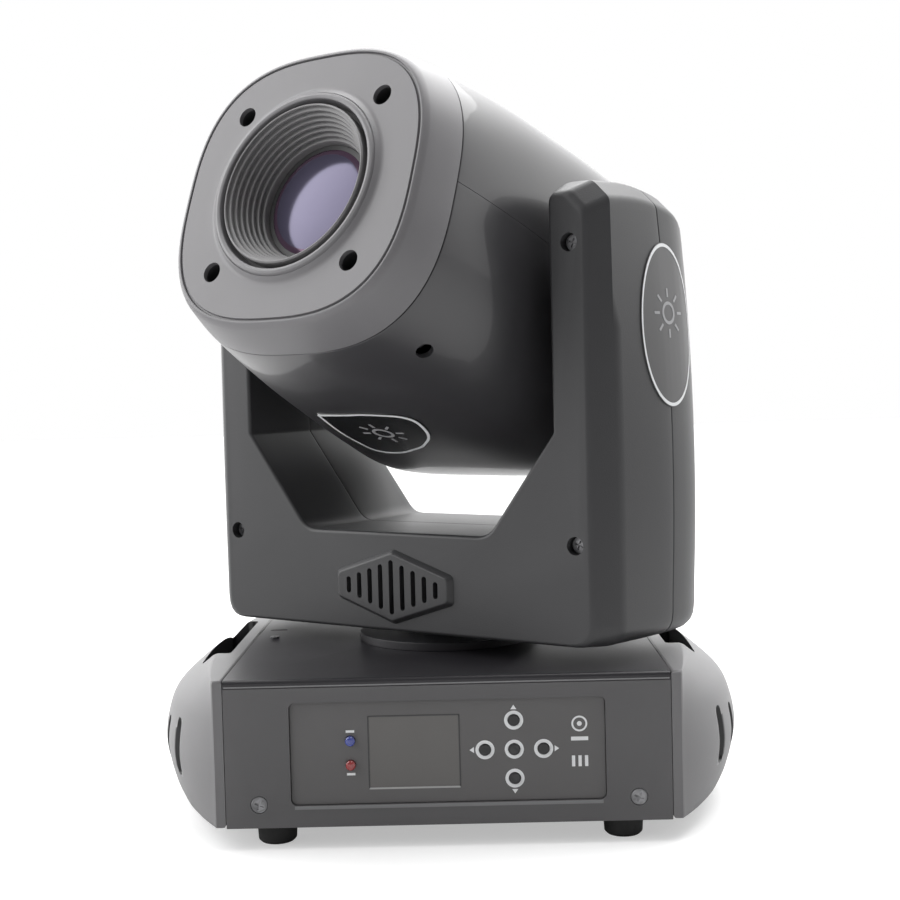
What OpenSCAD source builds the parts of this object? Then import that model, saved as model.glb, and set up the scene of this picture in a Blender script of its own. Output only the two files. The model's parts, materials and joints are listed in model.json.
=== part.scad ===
// Moving head spot light: a base with two handle covers, a panning yoke and a tilting head.
// Millimetres, +Z up, front towards -Y. The origin is on the pan axis, on the floor under the feet.

/* [Pose at rest] */
// Turn of the yoke about the pan axis, in degrees
pan_rest = -33.4; // [-90:0.1:90]
// Height of the lens above the horizontal, in degrees
tilt_rest = 20.5; // [-30:0.1:60]

/* [Base] */
// Width of the base body without the handles
base_w = 231.2; // [226:0.2:240]
// Depth of the base body, front to back
base_d = 228; // [220:1:240]
// Height of the base above the feet
base_h = 73.5; // [70:0.5:78]
// Height of the rubber feet
foot_h = 11; // [8:1:16]
// How far a handle bulges out of the base side
handle_bulge = 43; // [36:1:46]
// Thickness of the moulded walls
wall = 2.6; // [2:0.1:3]

/* [Control panel] */
// Width of the recessed control panel
panel_w = 155; // [150:1:165]
// Height of the recessed control panel
panel_h = 50.8; // [48:0.2:54]
// Distance between neighbouring buttons
button_pitch = 14.4; // [13:0.1:16]
// Diameter of a button cap
button_d = 5.4; // [4:0.1:7]

/* [Yoke] */
// Distance between the inner faces of the arms
yoke_gap = 200; // [199:0.5:203]
// Depth of the yoke, front to back
yoke_d = 101; // [99:1:103]
// Gap between the base top and the yoke bottom
yoke_lift = 10; // [9.5:0.5:12]
// Height of the tilt axis above the yoke bottom
tilt_up = 186; // [184:1:192]

/* [Head] */
// Half the width of the head's front face
face_half = 73.8; // [70:0.2:75]
// Distance from the tilt axis to the front face
face_ahead = 131; // [128:1:134]
// Distance from the tilt axis to the back of the head
back_behind = 92; // [90:1:95]
// Outer radius of the front lens
lens_r = 31; // [29:0.5:32]

/* [Hidden] */

SMOOTH = 64;          // facets of a large round
FINE = 32;            // facets of a small round
fit = 0.05;           // radial clearance of a running fit
play = 0.3;           // clearance between pieces that only pass each other
through = 1;          // how far a cutter runs past the face it cuts

// Base levels and half sizes
base_z0 = foot_h;
base_z1 = foot_h + base_h;
half_w = base_w / 2;
half_d = base_d / 2;
strip = 5.6;                      // width of a handle cover seen from the front
body_x = half_w - strip;          // half the width of the front panel
top_t = 4;                        // thickness of the top cover
edge_r = 2;                       // round of its front and rear edges
cover_x = body_x - 0.15;          // half the width of the top cover
panel_z = base_z0 + 36.3;         // centre of the control panel
panel_t = 1.4;                    // thickness of the control panel
panel_sink = 1.4;                 // how deep the control panel is set back
panel_y = -half_d + panel_sink;   // front face of the control panel
corner_r = 3;                     // corner radius of the control panel
foot_r = 10.2;
foot_x = 87;
foot_y = half_d - 17;
lcd = [44, 35];                   // visible screen, width and height
lcd_x = -16.5;
leds_x = -47.8;
led_r = 2.45;
pad_x = 32.7;                     // centre of the button cross
button_up_y = 1;                  // how far a button stands out of the panel
screw_r = 4;                      // head radius of the case screws

// Handle cover: plan arcs of different bulge, stacked from the bottom to the top
handle_levels = [
    [0, -0.24 * handle_bulge], [0.11, -0.12 * handle_bulge], [0.3, -0.02 * handle_bulge], [0.42, 0],
    [0.58, -0.05 * handle_bulge], [0.73, -0.16 * handle_bulge], [0.87, -0.41 * handle_bulge],
    [1, -0.72 * handle_bulge]
];
grip_y0 = -40;                    // front end of the finger gap
grip_y1 = 64;                     // rear end of the finger gap
grip_x0 = half_w + 2;             // inner side of the finger gap
grip_w = 16;                      // width of the finger gap
grip_z = base_z0 + 26;            // floor of the finger gap
slot_ys = [75, 50, 25];           // places of the side slots, each side of the middle
slot_hs = [30, 22, 14];           // their heights
slot_z = base_z0 + 32;            // height of their middles
slot_w = 7;                       // width of a side slot
handle_round = (half_d * half_d + handle_bulge * handle_bulge) / (2 * handle_bulge);

// Yoke
yoke_z0 = base_z1 + yoke_lift;
yoke_z1 = yoke_z0 + 232;
tilt_z = yoke_z0 + tilt_up;
yoke_y = yoke_d / 2;               // distance from the pan axis to the front face
yoke_seam = 3;                    // depth of the seam between the yoke shells
yoke_back = yoke_y + 6;           // distance from the pan axis to the back face
gap_x = yoke_gap / 2;
floor_x = 60;                     // half width of the flat bottom of the U
floor_z = yoke_z0 + 53.6;
slope_z = yoke_z0 + 107;          // where the slope meets the upright inner face
bend_r = 10;                      // bend between floor and slope
arm_z = slope_z - 6;              // where the arms start as shapes of their own
arm_lip = 9;                      // round of the inner top edge of an arm
bevel = 9.5;                      // bevel of the outer top edge of an arm
yoke_wall = 3;
yoke_corner = 15;                 // radius of the lower corners
// Plan stations of the yoke: depth, half width, drop of the top edge, rise of the bottom edge, and
// how much of the sideways dome the station has
yoke_stations = [
    [-yoke_y, 120.2, 7, 0, 0], [-yoke_y + 10.2, 130.4, 1, 0, 0.15], [-16, 136.6, 0, 0, 0.7],
    [yoke_seam, 140.3, 1.5, 0, 1], [24, 140.8, 6, 0, 1], [42, 134, 14, 0, 1], [yoke_back, 121, 22, 3, 1]
];
dome_z = yoke_z0 + 85;            // height at which the dome is widest
dome = 0.00038;                   // width lost per square millimetre away from that height
yoke_screw_x = 111.6;
yoke_screw_zs = [yoke_z0 + 51, yoke_z0 + 200.5];
vent_z = yoke_z0 + 24.4;          // centre of the vent boss
vent_slots = 9;
vent_pitch = 7.2;
badge_y = 6;                      // centre of an arm badge
badge_z = tilt_z - 26;
badge_half = [23, 42];            // half width and half height of an arm badge

// Pan drive
post_r = 20;
post_bore = 15;
pan_wheel_r = 38;
motor_wheel_r = 8;
pan_motor_x = -75;
belt_w = 6;
belt_t = 1.5;
frame_t = 2;
frame_z = yoke_z0 + yoke_wall;
pan_belt_z = frame_z + frame_t + 5;

// Tilt drive
shaft_r = 16;
shaft_bore = 11;
tilt_wheel_r = 32;
tilt_belt_x = 114;
tilt_motor_z = yoke_z0 + 27;
plate_x = gap_x + 4;              // inner face of a frame side plate
bearing_r = 26;

// Head: depth along the optical axis, half size and squareness of the rounded-square section
bezel_d = 23;                     // depth of the bezel
head_stations = [
    [-face_ahead, face_half, 2.8], [-face_ahead + bezel_d, face_half + 6.2, 2.8], [-60, 86.6, 3],
    [-18, 89, 3.4], [25, 90.2, 4], [60, 90, 4.4], [80, 85, 4.3], [back_behind, 77, 4]
];
head_seam = 5;                    // height of the seam between the upper and lower shell
head_wall = 2.6;
cap_y = 70;                       // front edge of the rear cap
bezel_y = -face_ahead + bezel_d;
lower_screw_y = -82.8;            // place of the screw holes low on the head, along the axis
lower_screw_turn = -40.5;         // their direction, from straight down
hole_half = 43.2;                 // half the spacing of the four bezel holes
hole_r = 5.3;
ring_r = 49;                      // outer radius of the lens ring
ring_proud = 3.8;                 // how far the lens ring stands in front of the face
steps = 6;                        // baffle steps in the lens barrel
step_d = 3.2;                     // depth of a step
groove_r = ring_r - 4.2;          // outer wall of the dark groove
lip_r = ring_r - 6;               // outer wall of the inner lip
throat_r = lip_r - 2.2;           // widest radius of the throat
step_r = (throat_r - lens_r) / steps;
crest_y = face_ahead + ring_proud;            // distance from the tilt axis to the ring's crest
lens_front = crest_y - steps * step_d;        // distance to the front of the lens
barrel_y = -100;                  // rear end of the lens barrel

function ring_points(r, from, to, n) = [for (i = [0 : n]) let (a = from + (to - from) * i / n)
    [r * cos(a), r * sin(a)]];
function power(v, p) = sign(v) * pow(abs(v), p);
// A rounded square with half size a, by the superellipse formula
function squircle(a, squareness) = [for (i = [0 : 55]) let (t = 360 * i / 56)
    [a * power(cos(t), 2 / squareness), a * power(sin(t), 2 / squareness)]];

module in_yoke() rotate([0, 0, pan_rest]) children();
module in_head() in_yoke() translate([0, 0, tilt_z]) rotate([-tilt_rest, 0, 0]) children();
module both_sides() {
    children();
    mirror([1, 0, 0]) children();
}
module box(x0, x1, y0, y1, z0, z1) translate([x0, y0, z0]) cube([x1 - x0, y1 - y0, z1 - z0]);
// A cylinder along Y, from y0 to y1, on the line x, z
module bar_y(x, z, r, y0, y1, n = SMOOTH)
    translate([x, y1, z]) rotate([90, 0, 0]) cylinder(r = r, h = y1 - y0, $fn = n);
// A cylinder along X, from x0 to x1, on the line y, z
module bar_x(y, z, r, x0, x1, n = SMOOTH)
    translate([x0, y, z]) rotate([0, 90, 0]) cylinder(r = r, h = x1 - x0, $fn = n);
module ring_x(y, z, r_out, r_in, x0, x1) difference() {
    bar_x(y, z, r_out, x0, x1);
    bar_x(y, z, r_in, x0 - through, x1 + through);
}
module ring_z(r_out, r_in, z0, z1) difference() {
    translate([0, 0, z0]) cylinder(r = r_out, h = z1 - z0, $fn = SMOOTH);
    translate([0, 0, z0 - through]) cylinder(r = r_in, h = z1 - z0 + 2 * through, $fn = SMOOTH);
}
// An X-Z outline, extruded from y0 to y1
module wall_y(y0, y1) translate([0, y1, 0]) rotate([90, 0, 0]) linear_extrude(y1 - y0) children();
module round_rect(w, h, r) union() {
    square([w - 2 * r, h], center = true);
    square([w, h - 2 * r], center = true);
    for (sx = [-1, 1], sy = [-1, 1])
        translate([sx * (w / 2 - r), sy * (h / 2 - r)]) circle(r = r, $fn = FINE);
}
module slot_2d(w, h) union() {
    square([w, h - w], center = true);
    for (s = [-1, 1]) translate([0, s * (h - w) / 2]) circle(d = w, $fn = FINE);
}
module ellipse(rx, ry) polygon([for (i = [0 : 47]) [rx * cos(7.5 * i), ry * sin(7.5 * i)]]);

// ---------- Base ----------

module base_pan() color("#3a3a3c") difference() {
    box(-body_x + 0.2, body_x - 0.2, -half_d + 3.2, half_d - 3.2, base_z0, base_z0 + wall);
    bracket_pattern() translate([0, 0, base_z0 - through]) cylinder(r = 9, h = 9, $fn = SMOOTH);
    translate([0, 70, base_z0 - through]) cylinder(r = 5, h = 9, $fn = FINE);
}

module panel_outline(grow = 0)
    translate([0, panel_z]) round_rect(panel_w + 2 * grow, panel_h + 2 * grow, corner_r + grow);

module front_screw_places() for (side = [-1, 1]) translate([side * 93.4, 0, base_z0 + 11.7]) children();

module base_front_panel() color("#5c5a5c") difference() {
    box(-body_x + 0.15, body_x - 0.15, -half_d, -half_d + 3, base_z0, base_z1 - top_t - 0.2);
    wall_y(-half_d - through, -half_d + 3 + through) panel_outline(0.1);
    front_screw_places() bar_y(0, 0, screw_r + 0.3, -half_d - through, -half_d + 1, FINE);
}

module base_top_cover() color("#3a383e") difference() {
    union() {
        box(-cover_x, cover_x, -half_d + edge_r, half_d - edge_r, base_z1 - top_t, base_z1);
        box(-cover_x, cover_x, -half_d, half_d, base_z1 - top_t, base_z1 - edge_r);
        for (s = [-1, 1]) bar_x(s * (half_d - edge_r), base_z1 - edge_r, edge_r, -cover_x, cover_x, FINE);
    }
    translate([0, 0, base_z1 - top_t - through]) cylinder(r = post_r + play, h = 9, $fn = SMOOTH);
    both_sides() translate([100.5, 30, base_z1 - 1.5]) linear_extrude(3) rotate(90) slot_2d(2.4, 10);
}

module base_rear_panel() color("#3a3a3c") difference() {
    box(-body_x + 0.15, body_x - 0.15, half_d - 3, half_d, base_z0, base_z1 - top_t - 0.2);
    for (x = [-70, -35]) bar_y(x, panel_z, 11.6, half_d - 4, half_d + through);
    bar_y(5, panel_z, 7.2, half_d - 4, half_d + through);
    wall_y(half_d - 4, half_d + through) translate([62, panel_z]) square([28.4, 20.4], center = true);
}

// Plan outline of a handle cover on the +X side for one bulge, smaller by shrink
module handle_plan(bulge, shrink) {
    side = half_d - 1 - shrink;
    sag = bulge - shrink;
    radius = (side * side + sag * sag) / (2 * sag);
    reach = asin(side / radius);
    x0 = body_x + 0.15 + shrink;
    polygon(concat([[x0, side], [x0, -side]],
        [for (p = ring_points(radius, -reach, reach, 23)) [p[0] - radius + half_w + sag, p[1]]]));
}
module handle_block(shrink) hull() for (level = handle_levels)
    translate([0, 0, base_z0 + shrink + level[0] * (base_h - 0.4 - 2 * shrink)])
        linear_extrude(0.4) handle_plan(handle_bulge + level[1], shrink);
module grip_box(grow) box(grip_x0 - grow, grip_x0 + grip_w + grow, grip_y0 - grow, grip_y1 + grow,
    grip_z - grow, base_z1 + through);

// Hollow moulding with a finger pocket in its top
module handle() difference() {
    union() {
        handle_block(0);
        box(body_x + 0.15, half_w, -half_d, half_d, base_z0, base_z1);
    }
    difference() {
        handle_block(wall);
        grip_box(wall);
    }
    grip_box(0);
    for (s = [-1, 1], i = [0 : len(slot_ys) - 1]) grip_slot(s * slot_ys[i], slot_hs[i]);
}

// Narrow upright slot in the outer face of a handle
module grip_slot(y, h)
    translate([half_w + handle_bulge - y * y / (2 * handle_round) - 5, y, slot_z]) rotate([90, 0, 90])
        linear_extrude(handle_bulge) slot_2d(slot_w, h);

module handle_left() color("#6c6a6e") mirror([1, 0, 0]) handle();
module handle_right() color("#6c6a6e") handle();

module button_places() {
    for (place = [[0, 1], [0, -1], [-1, 0], [1, 0], [0, 0]])
        translate([pad_x + button_pitch * place[0], 0, panel_z + button_pitch * place[1]]) children();
}

module display_panel() color("#565458") difference() {
    wall_y(panel_y, panel_y + panel_t) panel_outline(-0.15);
    button_places() bar_y(0, 0, button_d / 2 + play, panel_y - through, panel_y + 3, FINE);
    wall_y(panel_y - through, panel_y + 0.6)
        translate([lcd_x, panel_z]) square([lcd[0] + 1, lcd[1] + 1], center = true);
    for (s = [-1, 1])
        bar_y(leds_x, panel_z + s * 6, led_r + 0.1, panel_y - through, panel_y + 3, FINE);
}

module lcd_screen() color("#66665f")
    wall_y(panel_y + 0.1, panel_y + 0.6)
        translate([lcd_x, panel_z]) square([lcd[0] + 0.8, lcd[1] + 0.8], center = true);

// One button cap with its flange behind the panel
module button(column, row) color("#1c1b1d")
    translate([pad_x + button_pitch * column, 0, panel_z + button_pitch * row]) {
        bar_y(0, 0, button_d / 2, panel_y - button_up_y, panel_y + 3.4, FINE);
        bar_y(0, 0, button_d / 2 + 1, panel_y + panel_t + 0.4, panel_y + 3.4, FINE);
    }
module button_up() button(0, 1);
module button_down() button(0, -1);
module button_left() button(-1, 0);
module button_right() button(1, 0);
module button_enter() button(0, 0);

module status_leds() {
    color("#2b49a8") status_led(1);
    color("#b02a22") status_led(-1);
}
module status_led(s) {
    bar_y(leds_x, panel_z + s * 6, led_r, panel_y, panel_y + 4, FINE);
    translate([leds_x, panel_y, panel_z + s * 6]) sphere(r = led_r, $fn = FINE);
}

module rubber_feet() color("#1a1a1a") for (sx = [-1, 1], sy = [-1, 1])
    translate([sx * foot_x, sy * foot_y, 0]) rotate_extrude($fn = SMOOTH)
        polygon([[0, 0], [foot_r - 2, 0], [foot_r - 0.6, 1.4], [foot_r, foot_h], [0, foot_h]]);

module power_inlet() color("#161616") translate([62, half_d, panel_z]) difference() {
    union() {
        box(-14, 14, -24, 0, -10, 10);
        box(-25, 25, 0, 2.4, -12, 12);
    }
    box(-11.5, 11.5, -16, 3, -8, 8);
}

module socket_body(x) translate([x, half_d, panel_z]) difference() {
    union() {
        bar_y(0, 0, 11.4, -22, 0);
        box(-13, 13, 0, 2, -15.5, 15.5);
    }
    bar_y(0, 0, 9, -16, 3);
}
module dmx_in_socket() color("#2a2a2c") {
    socket_body(-70);
    for (a = [-50, 90, 230])
        translate([-70, half_d, panel_z]) rotate([0, a, 0]) bar_y(4.6, 0, 1, -16, -4, FINE);
}
module dmx_out_socket() color("#2a2a2c") {
    socket_body(-35);
    translate([-35, half_d, panel_z]) difference() {
        bar_y(0, 0, 7.4, -16, -2);
        for (a = [-50, 90, 230]) rotate([0, a, 0]) bar_y(4.2, 0, 1.3, -14, 0, FINE);
    }
}
module fuse_holder() color("#161616") {
    bar_y(5, panel_z, 7, half_d - 22, half_d);
    bar_y(5, panel_z, 9, half_d, half_d + 7);
}

module power_supply() color("#b9bcc0") box(-96, 14, 22, 86, base_z0 + 8, base_z0 + 44);
module control_board() color("#1f5a3a") union() {
    box(-70, 70, -105, -103.4, base_z0 + 8, base_z1 - 8);
    box(-50, 0, -103.4, -96, base_z0 + 14, base_z0 + 40);
}

// Cross-head screw cap of radius r and thickness t, facing -Y
module screw_head(r, t) difference() {
    bar_y(0, 0, r, 0, t, FINE);
    for (a = [20, 110]) rotate([0, a, 0]) box(-r * 0.6, r * 0.6, -through, t * 0.6, -r / 8, r / 8);
}
module base_screws() color("#26262a") {
    front_screw_places() translate([0, -half_d + 0.15, 0]) screw_head(screw_r, 0.8);
    both_sides() translate([99.6, 4, base_z1 + 0.9]) rotate([-90, 0, 0]) screw_head(2.6, 0.9);
}

bracket_dx = 106;                 // spacing of the bracket sockets, across
bracket_dy = 120;                 // spacing of the bracket sockets, front to back
module bracket_pattern() for (sx = [-1, 1], sy = [-1, 1])
    translate([sx * bracket_dx / 2, sy * bracket_dy / 2, 0]) children();
// Round sockets that take the quarter-turn studs of the hanging brackets
module bracket_sockets() color("#8c8f93") bracket_pattern() difference() {
    union() {
        translate([0, 0, base_z0 - 0.6]) cylinder(r = 8.8, h = 7.6, $fn = SMOOTH);
        translate([0, 0, base_z0 + wall + 0.1]) cylinder(r = 12, h = 3, $fn = SMOOTH);
    }
    translate([0, 0, base_z0 - 2]) cylinder(r = 4, h = 20, $fn = SMOOTH);
}
// Steel eye under the base for a safety cable
module safety_loop() color("#8c8f93") union() {
    translate([0, 70, base_z0 - 4]) rotate([90, 0, 0]) rotate_extrude(angle = 360, $fn = FINE)
        translate([4, 0]) circle(r = 1.5, $fn = FINE);
    translate([0, 70, base_z0 - 0.5]) cylinder(r = 4.8, h = 8, $fn = FINE);
}

module turntable_ring() color("#303032") ring_z(50, post_r + 0.2, base_z1, base_z1 + 4.5);
// Hollow post with the fixed belt wheel that the yoke walks around
module pan_post() color("#a9acb0") difference() {
    union() {
        translate([0, 0, base_z1 - 14])
            cylinder(r = post_r, h = pan_belt_z + 10 - base_z1 + 14, $fn = SMOOTH);
        translate([0, 0, pan_belt_z - 3.5]) cylinder(r = pan_wheel_r, h = 7, $fn = SMOOTH);
        translate([0, 0, base_z1 - top_t - 3]) cylinder(r = 34, h = 3, $fn = SMOOTH);
    }
    translate([0, 0, base_z1 - 20]) cylinder(r = post_bore, h = 80, $fn = SMOOTH);
}

// ---------- Yoke ----------

// Half width of the yoke at height z, at one station
function edge_x(station, z, shrink) = station[1] - shrink - station[4] * dome * pow(z - dome_z, 2);
function mirrored(right) = concat(right, [for (i = [len(right) - 1 : -1 : 0]) [-right[i][0], right[i][1]]]);

// Elevation outline of the yoke below the arms at one station, with round lower corners
module low_outline(station, shrink) {
    z0 = yoke_z0 + station[3] + shrink;
    r = yoke_corner - shrink;
    low = edge_x(station, z0 + r, shrink);
    polygon(mirrored(concat([for (p = ring_points(r, 270, 360, 6)) [low - r + p[0], z0 + r + p[1]]],
        [for (z = [z0 + r + 25, z0 + r + 50, arm_z, slope_z + 6]) [edge_x(station, z, shrink), z]])));
}
// Elevation outline of the arm on the +X side at one station: round inside, bevelled outside
module arm_outline(station, shrink) {
    z1 = yoke_z1 - station[2] - shrink;
    x0 = gap_x + shrink;
    r = arm_lip - shrink;
    zs = concat([arm_z, slope_z + 6], [for (i = [1 : 4]) slope_z + 6 + (z1 - bevel - slope_z - 6) * i / 4]);
    polygon(concat([for (z = zs) [edge_x(station, z, shrink), z]],
        [[edge_x(station, z1, shrink) - bevel, z1]],
        [for (p = ring_points(r, 90, 180, 5)) [x0 + r + p[0], z1 - r + p[1]]], [[x0, arm_z]]));
}

// The U-shaped opening between the arms, as an X-Z polygon; wider by grow on every side
module gap_outline(grow) {
    turn = atan2(slope_z - floor_z, gap_x - floor_x);
    x0 = floor_x + grow * tan(turn / 2);
    x1 = gap_x + grow;
    z0 = floor_z - grow;
    zs = slope_z - grow * tan((90 - turn) / 2);
    blend = bend_r * tan(turn / 2);
    corner = [for (t = [0 : 0.25 : 1])
        let (a = [x0 - blend, z0], b = [x0, z0], c = [x0 + blend * cos(turn), z0 + blend * sin(turn)])
        (1 - t) * (1 - t) * a + 2 * t * (1 - t) * b + t * t * c];
    polygon(mirrored(concat(corner, [[x1, zs], [x1, slope_z + 20]])));
}

// Outer block of the yoke between the stations first and last: a low block and two arms
module yoke_block(first, last, shrink) {
    difference() {
        hull() for (i = [first : last]) station_wall(i, last, shrink) low_outline(yoke_stations[i], shrink);
        wall_y(-yoke_y - 9, yoke_back + 9) gap_outline(shrink);
    }
    both_sides() hull() for (i = [first : last])
        station_wall(i, last, shrink) arm_outline(yoke_stations[i], shrink);
}
// A thin slice at a station; the end stations move inwards by shrink
module station_wall(i, last, shrink) {
    inset = i == 0 ? shrink : i == len(yoke_stations) - 1 ? -shrink : 0;
    y = yoke_stations[i][0] + inset - (i == last ? 0.1 : 0);
    wall_y(y, y + 0.1) children();
}

module yoke_shell(first, last) difference() {
    yoke_block(first, last, 0);
    yoke_block(first, last, yoke_wall);
    if (first == 0) wall_y(yoke_seam - 0.15, yoke_seam + through) square(900, center = true);
    both_sides() bar_x(0, tilt_z, shaft_r + 1.5, gap_x - 5, gap_x + 9);
    translate([0, 0, yoke_z0 - through]) cylinder(r = post_r + 9, h = 9, $fn = SMOOTH);
}

module yoke_screw_places() for (sx = [-1, 1], z = yoke_screw_zs)
    translate([sx * yoke_screw_x, 0, z]) children();
// Solid bosses behind the yoke screws
module screw_boss(y0, y1) bar_y(0, 0, 6.5, y0, y1, FINE);

module vent_hexagon(w, h, side) polygon([
    [-w, side], [-w, -side], [0, -h], [w, -side], [w, side], [0, h]]);
vent_half = [38.5, 20.4, 7.8];    // half width, half height and half height at the sides

module yoke_front_shell() color("#4e4e50") in_yoke() difference() {
    union() {
        yoke_shell(0, 3);
        translate([0, 0, vent_z]) hull() {
            wall_y(-yoke_y - 0.1, -yoke_y + 1) vent_hexagon(vent_half[0], vent_half[1], vent_half[2]);
            wall_y(-yoke_y - 3, -yoke_y)
                vent_hexagon(vent_half[0] - 3, vent_half[1] - 3, vent_half[2] - 2);
        }
        yoke_screw_places() screw_boss(-yoke_y + 1, -yoke_y + 14);
    }
    yoke_screw_places() bar_y(0, 0, screw_r + 0.6, -yoke_y - through, -yoke_y + 6, FINE);
    for (i = [0 : vent_slots - 1]) vent_slot(i - (vent_slots - 1) / 2);
}
// Slots get shorter away from the middle
module vent_slot(k) translate([k * vent_pitch, 0, vent_z])
    wall_y(-yoke_y - 9, -yoke_y + 9) slot_2d(3, 29.4 - 5.1 * abs(k));

module yoke_rear_shell() color("#4e4e50") in_yoke() difference() {
    union() {
        yoke_shell(3, 6);
        yoke_screw_places() screw_boss(yoke_back - 14, yoke_back - 1);
    }
    for (k = [-5 : 5]) translate([k * vent_pitch, 0, vent_z + 3])
        wall_y(yoke_back - 9, yoke_back + 9) slot_2d(3, 24);
}

// A skin of the yoke's outer surface between the stations, thick millimetres proud
module yoke_skin(first, last, thick) difference() {
    yoke_block(first, last, -thick);
    yoke_block(first, last, -0.05);
}
module arm_badges() color("#2a2a2c") in_yoke() intersection() {
    yoke_skin(1, 5, 0.8);
    both_sides() translate([125, badge_y, badge_z]) rotate([90, 0, 90]) linear_extrude(30)
        ellipse(badge_half[0], badge_half[1]);
}

module yoke_screws() color("#26262a") in_yoke() yoke_screw_places()
    translate([0, -yoke_y + 4.6, 0]) screw_head(screw_r, 1.3);

// Steel U inside the shells that carries the drives and the bearings
module yoke_frame() color("#7d8084") in_yoke() difference() {
    union() {
        box(-plate_x - frame_t, plate_x + frame_t, -32, 32, frame_z, frame_z + frame_t);
        both_sides() box(plate_x, plate_x + frame_t, -30, 30, frame_z, tilt_z + 29);
    }
    translate([0, 0, frame_z - 3]) cylinder(r = 28.2, h = 9, $fn = SMOOTH);
    both_sides() bar_x(0, tilt_z, bearing_r, plate_x - 2, plate_x + 6);
    bar_x(0, tilt_motor_z, motor_wheel_r + 3, plate_x - 2, plate_x + 6);
}

module pan_bearing() color("#c4c7ca") in_yoke() ring_z(28, post_r + fit, yoke_z0 - 4, pan_belt_z - 4);

module pan_motor() color("#2e3033") in_yoke() {
    box(pan_motor_x - 21, pan_motor_x + 21, -21, 21, pan_belt_z + 6, pan_belt_z + 34);
}
module pan_motor_pulley() color("#b9bcc0") in_yoke()
    translate([pan_motor_x, 0, pan_belt_z - 3.5]) cylinder(r = motor_wheel_r, h = 9, $fn = SMOOTH);

// Flat belt round two wheels in the X-Y plane, the first at the origin
module belt_2d(r1, r2, reach) difference() {
    hull() {
        circle(r = r1 + belt_t, $fn = SMOOTH);
        translate([reach, 0]) circle(r = r2 + belt_t, $fn = SMOOTH);
    }
    hull() {
        circle(r = r1, $fn = SMOOTH);
        translate([reach, 0]) circle(r = r2, $fn = SMOOTH);
    }
}
module pan_belt() color("#1a1a1a") in_yoke() translate([0, 0, pan_belt_z - belt_w / 2])
    linear_extrude(belt_w) belt_2d(pan_wheel_r + play, motor_wheel_r + play, pan_motor_x);

module tilt_motor() color("#2e3033") in_yoke()
    box(plate_x - 34, plate_x - 0.1, -21, 21, tilt_motor_z - 21, tilt_motor_z + 21);
module tilt_motor_pulley() color("#b9bcc0") in_yoke()
    bar_x(0, tilt_motor_z, motor_wheel_r, plate_x + 0.3, tilt_belt_x + 4);
module tilt_belt() color("#1a1a1a") in_yoke() translate([tilt_belt_x - belt_w / 2, 0, tilt_z])
    rotate([0, 90, 0]) linear_extrude(belt_w)
        belt_2d(tilt_wheel_r + play, motor_wheel_r + play, tilt_z - tilt_motor_z);
module tilt_bearings() color("#c4c7ca") in_yoke() both_sides()
    ring_x(0, tilt_z, bearing_r - 0.05, shaft_r + fit, plate_x - 0.5, plate_x + 5);

// ---------- Head ----------

function half_at(y) = lookup(y, [for (s = head_stations) [s[0], s[1]]]);
function squareness_at(y) = lookup(y, [for (s = head_stations) [s[0], s[2]]]);
// Solid of the head's outer shape between two depths, smaller by shrink
module head_form(y0, y1, shrink) hull() {
    for (s = head_stations) if (s[0] > y0 && s[0] < y1) head_slice(s[0], shrink);
    head_slice(y0, shrink);
    head_slice(y1 - 0.1, shrink);
}
module head_slice(y, shrink) wall_y(y, y + 0.1) polygon(squircle(half_at(y) - shrink, squareness_at(y)));

module bezel_holes(r, y0, y1) for (sx = [-1, 1], sz = [-1, 1])
    bar_y(sx * hole_half, sz * hole_half, r, y0, y1, FINE);

module head_bezel() color("#77757a") in_head() difference() {
    union() {
        difference() {
            head_form(-face_ahead, bezel_y - 0.15, 0);
            head_form(-face_ahead + head_wall, bezel_y + through, head_wall);
        }
        bezel_holes(hole_r + 2, -face_ahead + 1, bezel_y - 2);
    }
    wall_y(-face_ahead - through, -face_ahead + 0.9) difference() {
        polygon(squircle(face_half - 2.2, squareness_at(-face_ahead)));
        polygon(squircle(face_half - 3.4, squareness_at(-face_ahead)));
    }
    bezel_holes(hole_r, -face_ahead - through, bezel_y - 5);
    bar_y(0, 0, ring_r + 0.1, -face_ahead - through, -face_ahead + 9);
}

// Rear shells: one hollow tube, cut at the seam height
module head_tube() difference() {
    head_form(bezel_y, cap_y, 0);
    head_form(bezel_y - through, cap_y + through, head_wall);
    both_sides() bar_x(0, 0, shaft_r + 2, 60, 100);
}
module head_upper_shell() color("#3c3a3c") in_head() difference() {
    head_tube();
    box(-150, 150, -150, 150, -150, head_seam);
}
module lower_screw_places() both_sides() rotate([0, lower_screw_turn, 0])
    translate([0, lower_screw_y, 0]) children();
module head_lower_shell() color("#3c3a3c") in_head() difference() {
    head_tube();
    box(-150, 150, -150, 150, head_seam - 0.25, 150);
    lower_screw_places() translate([0, 0, -120]) cylinder(r = 4.4, h = 50, $fn = FINE);
}
module head_rear_cap() color("#3c3a3c") in_head() difference() {
    head_form(cap_y + 0.2, back_behind, 0);
    head_form(cap_y - through, back_behind - head_wall, head_wall);
    for (i = [0 : 9]) rear_slot(i - 4.5);
}
// Cooling slots across the rear cap, within a circle
module rear_slot(k) wall_y(back_behind - 9, back_behind + 9)
    translate([0, k * 11]) rotate(90) slot_2d(5, 2 * sqrt(58 * 58 - k * k * 121));

// Outline of the underside badge: a wide drop with its tip to the front left
module drop_outline() hull() {
    translate([-13, -13]) circle(r = 28.5, $fn = FINE);
    for (place = [[14.5, -25], [-27, 7.5]]) translate(place) circle(r = 12.5, $fn = FINE);
    translate([-36.5, -36.5]) circle(r = 2, $fn = FINE);
}
module head_badge() color("#101012") in_head() intersection() {
    difference() {
        head_form(-70, 50, -0.8);
        head_form(-71, 51, -0.05);
    }
    translate([0, 0, -130]) linear_extrude(100) drop_outline();
}

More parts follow.
